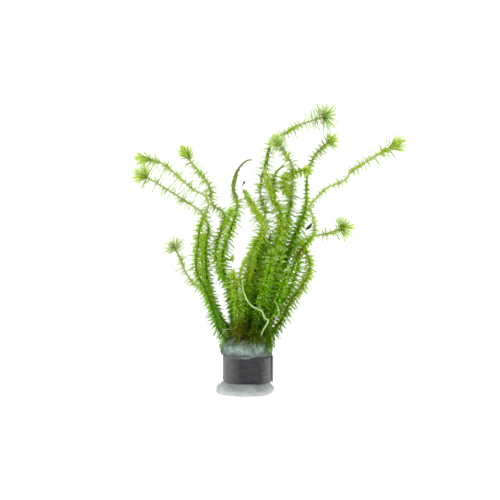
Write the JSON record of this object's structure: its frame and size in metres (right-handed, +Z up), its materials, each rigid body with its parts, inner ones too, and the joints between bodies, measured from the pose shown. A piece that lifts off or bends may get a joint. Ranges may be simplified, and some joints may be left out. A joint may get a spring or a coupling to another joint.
{
  "type": "stream bogmoss bunch",
  "caption": "Bunch of leafy stream bogmoss stems standing in a wad of wool that a wound lead strip weighs down.",
  "frame": {"origin": "centre of the wool's flat bottom", "axes": "+Z up along the bunch, +X to its right and -Y towards its front"},
  "size_m": [0.1348, 0.0468, 0.1459],
  "materials": {
    "lead": "dull grey lead, soft and slightly crumpled",
    "wool": "pale grey-green mineral wool, matte and fibrous",
    "leaf": "soft translucent green needle leaves",
    "pale_strand": "pale bare strand, smooth"
  },
  "bodies": {
    "root": {"lead_strip": "lead", "wool_plug": "wool", "stem_01": "leaf", "stem_02": "leaf", "stem_03": "leaf", "stem_04": "leaf", "stem_05": "leaf", "stem_06": "leaf", "stem_07": "leaf", "stem_08": "leaf", "stem_09": "leaf", "stem_10": "leaf", "stem_11": "leaf", "stem_12": "leaf", "stem_13": "leaf", "stem_14": "leaf", "stem_15": "leaf", "stem_16": "leaf", "stem_17": "leaf", "stem_18": "leaf", "stem_19": "leaf", "stem_20": "leaf", "stem_21": "leaf", "stem_22": "leaf", "side_shoot_01": "leaf", "side_shoot_02": "leaf", "side_shoot_03": "leaf", "side_shoot_04": "leaf", "side_shoot_05": "leaf", "pale_root": "pale_strand"}
  },
  "joints": []
}
